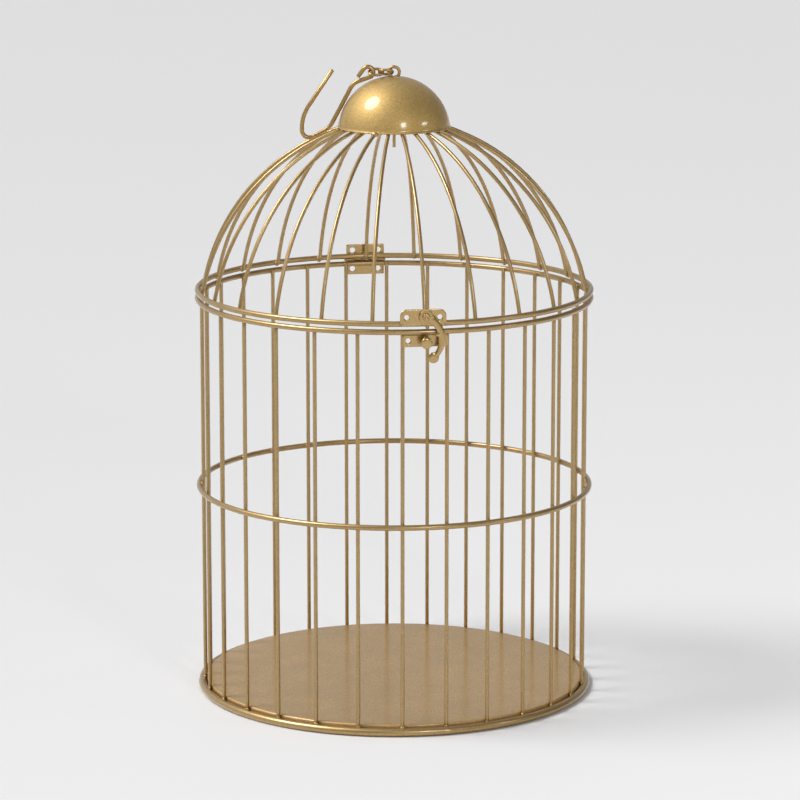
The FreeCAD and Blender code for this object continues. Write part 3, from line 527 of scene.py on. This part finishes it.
neck_to_loop = np.array([HOOK_LOOP_REACH - HOOK_NECK[0], CHAIN_HEIGHT - HOOK_NECK[1]])
loop_distance = float(np.linalg.norm(neck_to_loop))
loop_bearing = math.degrees(math.atan2(neck_to_loop[1], neck_to_loop[0]))
loop_half = math.degrees(math.asin(HOOK_LOOP / loop_distance))
loop_leg = math.sqrt(loop_distance**2 - HOOK_LOOP**2)
loop_turn = 90 + loop_half
wire_end = (2 * HOOK_WIRE + HOOK_END_GAP) / (2 * math.sin(math.radians(loop_half)))
end_point = from_neck(wire_end, loop_bearing - loop_half)
loop_start = loop_bearing - loop_turn
loop_stop = loop_bearing + loop_turn
loop = arc(HOOK_LOOP_REACH, CHAIN_HEIGHT, HOOK_LOOP, loop_start, loop_stop, 48)
leg_point = from_neck(loop_leg, loop_bearing + loop_half)[0]
shank = rounded_route([leg_point, HOOK_NECK, HOOK_HEEL, HOOK_TOE, HOOK_LIP, HOOK_TIP])
hook_route = np.vstack([end_point, loop, shank[1:]])
hook = tube(in_chain_plane(hook_route), athwart, HOOK_WIRE + HOOK_FILM, sides=14)
new_piece("hanging_hook_wire", [hook], "hook", ["hanging_hook"], chain_paint)

# Butt hinge at the back: two small pressed leaves with rolled knuckles in turn along a headed pin.
# Stock steel hardware, welded to the outside of the rings with its screw holes left empty, then painted.
RING_FACE = CAGE_RADIUS - WELD_BITE
HINGE_HALF = 12.5
HINGE_HEIGHT = (MOUTH_HEIGHT + LID_HEIGHT) / 2
LEAF_SHEET = 0.8
LEAF_WIDTH = 10.0
LEAF_CORNER = 0.4
LEAF_HOLE = 1.8
LEAF_HOLE_SPACING = 17.0
LEAF_HOLE_DROP = 6.2
KNUCKLE_RADIUS = 1.85
KNUCKLE_BORE = 1.02
KNUCKLE_COUNT = 5
KNUCKLE_GAP = 0.2
KNUCKLE_EDGE = 0.3
STRIP_LAP = 0.7
STRIP_SQUARE = 0.35
PIN_RADIUS = 1.0
PIN_HEAD = 1.6
PIN_HEAD_LENGTH = 0.9
PIN_CHAMFER = 0.3
HARDWARE_GOLD = (0.50, 0.335, 0.125)
HARDWARE_ROUGHNESS = 0.28
HARDWARE_CREASE = 60.0
CORNER_STEPS = 9
EDGE_STEPS = 6


def rounded_box(low, high, corners):
    """A rectangle's outline as (sideways, upward) points, run anticlockwise from the lower left, with its
    own radius at each corner, and the outward direction at each point."""
    centres = [(low[0], low[1]), (high[0], low[1]), (high[0], high[1]), (low[0], high[1])]
    points, outward = [], []
    for number, (corner, radius) in enumerate(zip(centres, corners)):
        angle = np.radians(np.linspace(180, 270, CORNER_STEPS) + 90 * number)
        facing = np.stack([np.cos(angle), np.sin(angle)], axis=1)
        inset = np.where(facing[CORNER_STEPS // 2] > 0, -1, 1) * radius
        points.append(np.array(corner) + inset + facing * radius)
        outward.append(facing)
    points = np.vstack(points)
    outward = np.vstack(outward)
    share = np.linspace(0, 1, EDGE_STEPS, endpoint=False)[None, :, None]
    points = points[:, None] + (np.roll(points, -1, axis=0) - points)[:, None] * share
    outward = outward[:, None] + (np.roll(outward, -1, axis=0) - outward)[:, None] * share
    outward = outward / np.linalg.norm(outward, axis=-1, keepdims=True)
    return points.reshape(-1, 2), outward.reshape(-1, 2)


EDGE_LEANS = np.radians([90.0, 90.0, 60.0, 30.0, 0.0])
EDGE_ROUNDING = 0.48
EDGE_HOLD = 1.5
ON_SEAM = 0.01


def pierced_half(hole, bore, low, high, corners, seam, back, facing, sheet):
    """Half of a small plate with a round hole. At every point of the outline a closed section runs from the
    hole's wall across the front, over the outer edge, back across the rear and through the hole. Both edges
    are rounded, and the first loop beside each holds the flat level. On the seam there is no edge, and the
    section stays open for the other half."""
    edge = EDGE_ROUNDING * sheet
    outline, outward = rounded_box(low, high, corners)
    hole = np.asarray(hole, float)
    bearing = (outline - hole) / np.linalg.norm(outline - hole, axis=1, keepdims=True)
    rim = hole + bearing * bore
    from_middle = outline[:, 1:] - (low[1] + high[1]) / 2
    on_seam = np.abs(outline[:, :1] - seam) < ON_SEAM
    seam_end = on_seam & (np.abs(from_middle) > (high[1] - low[1]) / 2 - ON_SEAM)
    outward = np.where(seam_end, np.sign(from_middle) * [0.0, 1.0], outward)
    soft = np.where(on_seam & ~seam_end, 0.0, edge)
    lean = EDGE_LEANS[:, None, None]
    inset = 1 - np.cos(lean)
    inset[0] = EDGE_HOLD
    drop = 1 - np.sin(lean)
    over = outline - outward * soft * inset
    through = rim + bearing * edge * inset
    plane = np.concatenate([over, over[::-1], through, through[::-1]])
    outer_drop = soft * drop
    inner_drop = np.broadcast_to(edge * drop, outer_drop.shape)
    depth = np.concatenate([sheet - outer_drop, outer_drop[::-1], inner_drop, sheet - inner_drop[::-1]])
    points = np.concatenate([plane[..., :1], facing * (back + depth), plane[..., 1:]], axis=-1)
    rows, columns = points.shape[:2]
    points = points.reshape(-1, 3)
    quads = grid_quads(rows, columns, close_rows=True)
    wall = (np.abs(points[:, 0] - seam) < ON_SEAM)[quads].all(axis=1)
    return points, quads[~wall], NO_CAPS


def pierced_plate(middle, half, low, high, spacing, rise, bore, top_corner, low_corner, back, facing, sheet):
    """The two pierced halves of a small plate, left and right of its middle, with a hole in each. The
    corners on the seam stay square."""
    halves = []
    square = 0.0
    for hand in (-1, 1):
        near, far = (middle - half, middle) if hand < 0 else (middle, middle + half)
        corners = np.array([low_corner, square, square, top_corner])
        corners = corners if hand < 0 else corners[[1, 0, 3, 2]]
        hole = (middle + hand * spacing / 2, rise)
        shape = (hole, bore, (near, low), (far, high), corners)
        halves.append(pierced_half(*shape, middle, back, facing, sheet))
    return halves


BORE_EDGE = 0.2


def flat_ring(inner, outer, half, soft):
    """Closed profile of a flat ring, as (radius, distance) points, with rounded outer and inner edges."""
    return np.vstack(
        [
            arc(outer - soft, half - soft, soft, 90, 0, 5),
            arc(outer - soft, soft - half, soft, 0, -90, 5),
            arc(inner + BORE_EDGE, BORE_EDGE - half, BORE_EDGE, -90, -180, 3),
            arc(inner + BORE_EDGE, half - BORE_EDGE, BORE_EDGE, 180, 90, 3),
        ]
    )


def set_out(profile, distance):
    """The (radius, distance) points of a profile, moved out along its axis."""
    return np.asarray(profile) + (0.0, distance)


hardware_paint = gold_paint("hardware_paint", HARDWARE_GOLD, HARDWARE_ROUGHNESS)
knuckle_pitch = 2 * HINGE_HALF / KNUCKLE_COUNT
knuckle_half = (knuckle_pitch - KNUCKLE_GAP) / 2
knuckle_barrel = flat_ring(KNUCKLE_BORE, KNUCKLE_RADIUS, knuckle_half, KNUCKLE_EDGE)
notch = KNUCKLE_RADIUS + KNUCKLE_GAP
pin_out = RING_FACE + KNUCKLE_RADIUS
for node, body, up, first_knuckle in (
    ("lower_hinge_leaf", "cage", -1, 0),
    ("upper_hinge_leaf", "lid", 1, 1),
):
    low, high = sorted([HINGE_HEIGHT + up * notch, HINGE_HEIGHT + up * LEAF_WIDTH])
    leaf = pierced_plate(
        middle=0.0,
        half=HINGE_HALF,
        low=low,
        high=high,
        spacing=LEAF_HOLE_SPACING,
        rise=HINGE_HEIGHT + up * LEAF_HOLE_DROP,
        bore=LEAF_HOLE,
        top_corner=LEAF_CORNER,
        low_corner=LEAF_CORNER,
        back=RING_FACE,
        facing=1,
        sheet=LEAF_SHEET,
    )
    for place in range(first_knuckle, KNUCKLE_COUNT, 2):
        side = knuckle_pitch * (place - KNUCKLE_COUNT // 2)
        leaf.append(lathe(knuckle_barrel, EAST, UP, (side, pin_out, HINGE_HEIGHT), sides=28, closed=True))
        strip_start = np.array([side, RING_FACE + LEAF_SHEET / 2, HINGE_HEIGHT])
        strip = strip_start + np.linspace(0, notch + STRIP_LAP, num=8)[:, None] * up * UP
        leaf.append(tube(strip, EAST, LEAF_SHEET / 2, sides=20, depth=knuckle_half, square=STRIP_SQUARE))
    new_piece(node + "_rolled", leaf, body, [node], hardware_paint, HARDWARE_CREASE)
pin_head = [
    (PIN_RADIUS, 0.0),
    (PIN_HEAD, 0.0),
    (PIN_HEAD, PIN_HEAD_LENGTH - PIN_CHAMFER),
    (PIN_HEAD - PIN_CHAMFER, PIN_HEAD_LENGTH),
    (0.0, PIN_HEAD_LENGTH),
]
far_head = set_out(pin_head, HINGE_HALF + KNUCKLE_GAP)
near_head = far_head[::-1] * (1, -1)
pin = lathe(np.vstack([near_head, far_head]), EAST, UP, (0, pin_out, HINGE_HEIGHT), sides=24)
new_piece("hinge_pin_turned", [pin], "cage", ["hinge_pin"], hardware_paint)

# Latch plates: a rounded plate on the lid ring and a squarer one on the two middle bars below it.
# Pressed steel with punched screw holes, painted over. The holes stay empty: the plates are welded on.
LATCH_HALF = 14.0
LATCH_SHEET = 1.0
LATCH_HOLE = 1.5
LATCH_SHARP_CORNER = 0.4
UPPER_PLATE_MIDDLE = -1.9
UPPER_PLATE_LOW = 255.2
UPPER_PLATE_HIGH = 265.3
UPPER_PLATE_CORNER = 4.2
UPPER_HOLE_SPACING = 20.0
UPPER_HOLE_HEIGHT = 260.5
KEEPER_BACK = 121.105
KEEPER_LOW = 241.8
KEEPER_HIGH = 249.4
KEEPER_CORNER = 1.6
KEEPER_HOLE_SPACING = 21.0
KEEPER_HOLE_HEIGHT = 245.7
upper_plate = pierced_plate(
    middle=UPPER_PLATE_MIDDLE,
    half=LATCH_HALF,
    low=UPPER_PLATE_LOW,
    high=UPPER_PLATE_HIGH,
    spacing=UPPER_HOLE_SPACING,
    rise=UPPER_HOLE_HEIGHT,
    bore=LATCH_HOLE,
    top_corner=UPPER_PLATE_CORNER,
    low_corner=LATCH_SHARP_CORNER,
    back=RING_FACE,
    facing=-1,
    sheet=LATCH_SHEET,
)
new_piece(
    "latch_plate_sheet",
    upper_plate,
    "lid",
    ["latch_plate"],
    hardware_paint,
    HARDWARE_CREASE,
)
keeper_plate = pierced_plate(
    middle=0.0,
    half=LATCH_HALF,
    low=KEEPER_LOW,
    high=KEEPER_HIGH,
    spacing=KEEPER_HOLE_SPACING,
    rise=KEEPER_HOLE_HEIGHT,
    bore=LATCH_HOLE,
    top_corner=LATCH_SHARP_CORNER,
    low_corner=KEEPER_CORNER,
    back=KEEPER_BACK,
    facing=-1,
    sheet=LATCH_SHEET,
)
new_piece(
    "latch_keeper_plate_sheet",
    keeper_plate,
    "cage",
    ["latch_keeper_plate"],
    hardware_paint,
    HARDWARE_CREASE,
)

# Rivet and post of the latch: two turned steel pins that stand out of the plates, in the plates' paint.
# The rivet's low head is dimpled by the punch. The post has a mushroom head that the arm's end goes behind.
FRONT = np.array([0.0, -1.0, 0.0])
PIVOT_SIDE = -0.4
PIVOT_HEIGHT = 260.9
ARM_HALF = 0.8
ARM_PLAY = 0.3
ARM_OUT = RING_FACE + LATCH_SHEET + ARM_PLAY + ARM_HALF
RIVET_HEAD_OUT = ARM_OUT + ARM_HALF + ARM_PLAY
RIVET_NECK = 1.4
RIVET_HEAD = 2.3
RIVET_DOME = 0.8
RIVET_DOME_RISE = 0.4
RIVET_TAIL_POINTS = [(0.0, -0.7), (1.75, -0.7), (1.95, -0.5), (1.95, 0.0), (RIVET_NECK, 0.02)]
RIVET_RIM_POINTS = [(RIVET_NECK, 0.0), (RIVET_HEAD - 0.1, 0.0), (RIVET_HEAD, 0.15), (RIVET_HEAD, 0.35)]
RIVET_DIMPLE_POINTS = [(0.75, 0.85), (0.35, 0.72), (0.0, 0.7)]
POST_HEIGHT = 245.2
POST_HEAD_PLAY = 1.0
POST_FOOT_OUT = ARM_OUT - ARM_HALF - ARM_PLAY
POST_HEAD_OUT = ARM_OUT + ARM_HALF + POST_HEAD_PLAY
POST_NECK = 1.0
POST_FOOT = 2.2
POST_HEAD = 3.5
POST_DOME = 1.1
POST_DOME_RISE = 0.27
POST_TAIL_POINTS = [(0.0, 0.015), (POST_NECK, 0.015), (POST_NECK, 0.995), (POST_FOOT, 1.015)]
POST_SHOULDER_POINTS = [(POST_FOOT, -0.2), (POST_FOOT - 0.2, 0.0), (POST_NECK, 0.0)]
POST_RIM_POINTS = [(POST_NECK, 0.0), (POST_HEAD - 0.15, 0.0), (POST_HEAD, 0.12), (POST_HEAD, 0.25)]
POST_CROWN_POINTS = [(1.2, 1.39), (0.0, 1.4)]
rivet_profile = np.vstack(
    [
        set_out(RIVET_TAIL_POINTS, RING_FACE),
        set_out(RIVET_RIM_POINTS, RIVET_HEAD_OUT),
        arc(RIVET_HEAD - RIVET_DOME, RIVET_HEAD_OUT + RIVET_DOME_RISE, RIVET_DOME, 8, 120, 9),
        set_out(RIVET_DIMPLE_POINTS, RIVET_HEAD_OUT),
    ]
)
rivet = lathe(rivet_profile, FRONT, EAST, (PIVOT_SIDE, 0, PIVOT_HEIGHT), sides=40)
new_piece("latch_rivet_turned", [rivet], "lid", ["latch_rivet"], hardware_paint)
post_profile = np.vstack(
    [
        set_out(POST_TAIL_POINTS, KEEPER_BACK),
        set_out(POST_SHOULDER_POINTS, POST_FOOT_OUT),
        set_out(POST_RIM_POINTS, POST_HEAD_OUT),
        arc(POST_HEAD - POST_DOME, POST_HEAD_OUT + POST_DOME_RISE, POST_DOME, 8, 84, 9),
        set_out(POST_CROWN_POINTS, POST_HEAD_OUT),
    ]
)
post = lathe(post_profile, FRONT, EAST, (PIVOT_SIDE, 0, POST_HEIGHT), sides=48)
new_piece(
    "latch_keeper_post_turned",
    [post],
    "cage",
    ["latch_keeper_post"],
    hardware_paint,
)

# Swing arm of the latch: a small casting in the plates' paint, a bow with a pierced boss that turns on the
# rivet, a nib on the inside and a round end to push. It is laid out swung home, then turned back a few
# degrees to where it hangs, with its end beside the post.
ARM_OPEN = math.radians(8.5)
ARM_BOSS = 4.2
ARM_BOSS_EDGE = 0.5
ARM_BORE = 1.45
ARM_END = np.array([0.8, -25.4])
ARM_END_RADIUS = 3.3
ARM_END_FLAT = 1.3
BOW_RADIUS = 14.7
BOW_LAP = 13.0
BOW_STEPS = 44
BOW_WIDTH_PLACES = [0.0, 0.12, 0.3, 0.6, 0.85, 1.0]
BOW_WIDTHS = [2.7, 2.5, 2.1, 2.1, 1.75, 1.6]
NIB_TIP = np.array([3.6, -12.1])
NIB_TIP_WIDTH = 0.5
NIB_ROOT_WIDTH = 2.2
NIB_STEPS = 10


def on_arm(route):
    """Points of the arm's plane from (sideways, upward) pairs about the pivot, turned to where it hangs."""
    side, rise = np.asarray(route, float).T
    side, rise = (
        PIVOT_SIDE + side * math.cos(ARM_OPEN) - rise * math.sin(ARM_OPEN),
        PIVOT_HEIGHT + side * math.sin(ARM_OPEN) + rise * math.cos(ARM_OPEN),
    )
    return np.stack([side, np.full(len(side), -ARM_OUT), rise], axis=1)


boss_profile = flat_ring(ARM_BORE, ARM_BOSS, ARM_HALF, ARM_BOSS_EDGE)
boss = lathe(boss_profile, FRONT, EAST, on_arm([(0, 0)])[0], sides=44, closed=True)
chord = float(np.linalg.norm(ARM_END))
leftward = np.array([ARM_END[1], -ARM_END[0]]) / chord
bow_centre = ARM_END / 2 + leftward * math.sqrt(BOW_RADIUS**2 - (chord / 2) ** 2)
bow_top = math.degrees(math.atan2(-bow_centre[1], -bow_centre[0]))
bow_bottom = math.degrees(math.atan2(*(ARM_END - bow_centre)[::-1]))
bow_route = arc(bow_centre[0], bow_centre[1], BOW_RADIUS, bow_top - BOW_LAP, bow_bottom, BOW_STEPS)
bow_width = np.interp(np.linspace(0, 1, BOW_STEPS), BOW_WIDTH_PLACES, BOW_WIDTHS)
bow = tube(on_arm(bow_route), FRONT, bow_width, sides=24, depth=ARM_HALF)
end_curve = arc(0, 0, 1, 90, -90, 17) * (ARM_END_RADIUS - ARM_END_FLAT, ARM_HALF) + (ARM_END_FLAT, 0)
end_profile = np.vstack([[(0, ARM_HALF)], end_curve, [(0, -ARM_HALF)]])
round_end = lathe(end_profile, FRONT, EAST, on_arm([ARM_END])[0], sides=40)
nib_root = bow_centre + (NIB_TIP - bow_centre) * BOW_RADIUS / np.linalg.norm(NIB_TIP - bow_centre)
nib_route = np.linspace(NIB_TIP, nib_root, NIB_STEPS)
nib_width = np.linspace(NIB_TIP_WIDTH, NIB_ROOT_WIDTH, NIB_STEPS)
nib = tube(on_arm(nib_route), FRONT, nib_width, sides=14, depth=ARM_HALF)
arm_surfaces = [boss, bow, round_end, nib]
new_piece("latch_arm_cast", arm_surfaces, "latch_arm", ["latch_arm"], hardware_paint)

# Table top and studio: a pale satin floor that reaches past the view. A key light like a soft sun comes from
# the upper left, two small lamps stand in front and at the right, and the even light from all round is a
# little stronger from behind and from the left. Lengths here are in metres.
FLOOR_REACH = 40.0
FLOOR_PALE = (0.84, 0.84, 0.85, 1)
FLOOR_ROUGHNESS = 0.45
FLOOR_GLOSS = 0.1
LAMP_TARGET = np.array([0.0, 0.0, 0.25])
KEY_PLACE = (-1.5, 0.08, 2.25)
KEY_STRENGTH = 2.4
KEY_SPREAD = math.radians(26)
FRONT_LAMP_PLACE = (0.47, -2.34, 1.28)
FRONT_LAMP_POWER = 13.0
FRONT_LAMP_SIZE = 0.40
RIGHT_LAMP_PLACE = (1.78, -1.05, 1.0)
RIGHT_LAMP_POWER = 4.0
RIGHT_LAMP_WIDTH = 0.40
RIGHT_LAMP_HEIGHT = 0.10
SKY_LEVEL = 0.285
SKY_LEAN = (-0.22, 0.20, 0.05)
SKY_WHITE = (1, 1, 1, 1)
floor_corners = np.array([(-1, -1, 0), (1, -1, 0), (1, 1, 0), (-1, 1, 0)]) * FLOOR_REACH
floor_mesh = bpy.data.meshes.new("floor")
floor_mesh.from_pydata(floor_corners.tolist(), [], [(0, 1, 2, 3)])
floor = bpy.data.objects.new("floor", floor_mesh)
bpy.context.scene.collection.objects.link(floor)
floor_paint = bpy.data.materials.new("floor_paint")
floor_paint.use_nodes = True
floor_skin = floor_paint.node_tree.nodes["Principled BSDF"]
floor_skin.inputs["Base Color"].default_value = FLOOR_PALE
floor_skin.inputs["Roughness"].default_value = FLOOR_ROUGHNESS
floor_skin.inputs["Specular IOR Level"].default_value = FLOOR_GLOSS
floor_mesh.materials.append(floor_paint)


def aimed_lamp(name, kind, energy, place):
    """A lamp at a place, turned to the middle of the cage."""
    lamp = bpy.data.lights.new(name, kind)
    lamp.energy = energy
    stand = bpy.data.objects.new(name, lamp)
    bpy.context.scene.collection.objects.link(stand)
    aim = LAMP_TARGET - place
    tip = math.atan2(math.hypot(aim[0], aim[1]), -aim[2])
    stand.location = place
    stand.rotation_euler = (tip, 0, math.atan2(aim[1], aim[0]) - math.pi / 2)
    return lamp


key_lamp = aimed_lamp("key_lamp", "SUN", KEY_STRENGTH, KEY_PLACE)
key_lamp.angle = KEY_SPREAD
front_lamp = aimed_lamp("front_lamp", "AREA", FRONT_LAMP_POWER, FRONT_LAMP_PLACE)
front_lamp.size = FRONT_LAMP_SIZE
right_lamp = aimed_lamp("right_lamp", "AREA", RIGHT_LAMP_POWER, RIGHT_LAMP_PLACE)
right_lamp.shape = "RECTANGLE"
right_lamp.size = RIGHT_LAMP_WIDTH
right_lamp.size_y = RIGHT_LAMP_HEIGHT

world = bpy.data.worlds.new("studio")
bpy.context.scene.world = world
world.use_nodes = True
sky_nodes = world.node_tree.nodes
sky_links = world.node_tree.links
sky = sky_nodes["Background"]
sky.inputs["Color"].default_value = SKY_WHITE
sky_place = sky_nodes.new("ShaderNodeTexCoord")
sky_lean = sky_nodes.new("ShaderNodeVectorMath")
sky_lean.operation = "DOT_PRODUCT"
sky_lean.inputs[1].default_value = SKY_LEAN
sky_links.new(sky_place.outputs["Generated"], sky_lean.inputs[0])
sky_level = sky_nodes.new("ShaderNodeMath")
sky_level.operation = "ADD"
sky_level.inputs[1].default_value = SKY_LEVEL
sky_links.new(sky_lean.outputs["Value"], sky_level.inputs[0])
sky_links.new(sky_level.outputs["Value"], sky.inputs["Strength"])

# Camera: a long lens about two and a half metres away, a little left of the latch and higher than the hook.
# It is turned towards the cage and dips to look slightly down on it.
CAMERA_PLACE = (-0.3616, -2.3357, 0.6746)
CAMERA_DIP = 11.72
CAMERA_TURN = -8.889
CAMERA_LENS = 171.98
CAMERA_SENSOR = 36.0
camera = bpy.data.cameras.new("camera")
camera.sensor_width = CAMERA_SENSOR
camera.lens = CAMERA_LENS
camera_object = bpy.data.objects.new("camera", camera)
bpy.context.scene.collection.objects.link(camera_object)
camera_object.location = CAMERA_PLACE
camera_object.rotation_euler = (math.radians(90 - CAMERA_DIP), 0, math.radians(CAMERA_TURN))
bpy.context.scene.camera = camera_object
bpy.context.scene.view_settings.view_transform = "Standard"
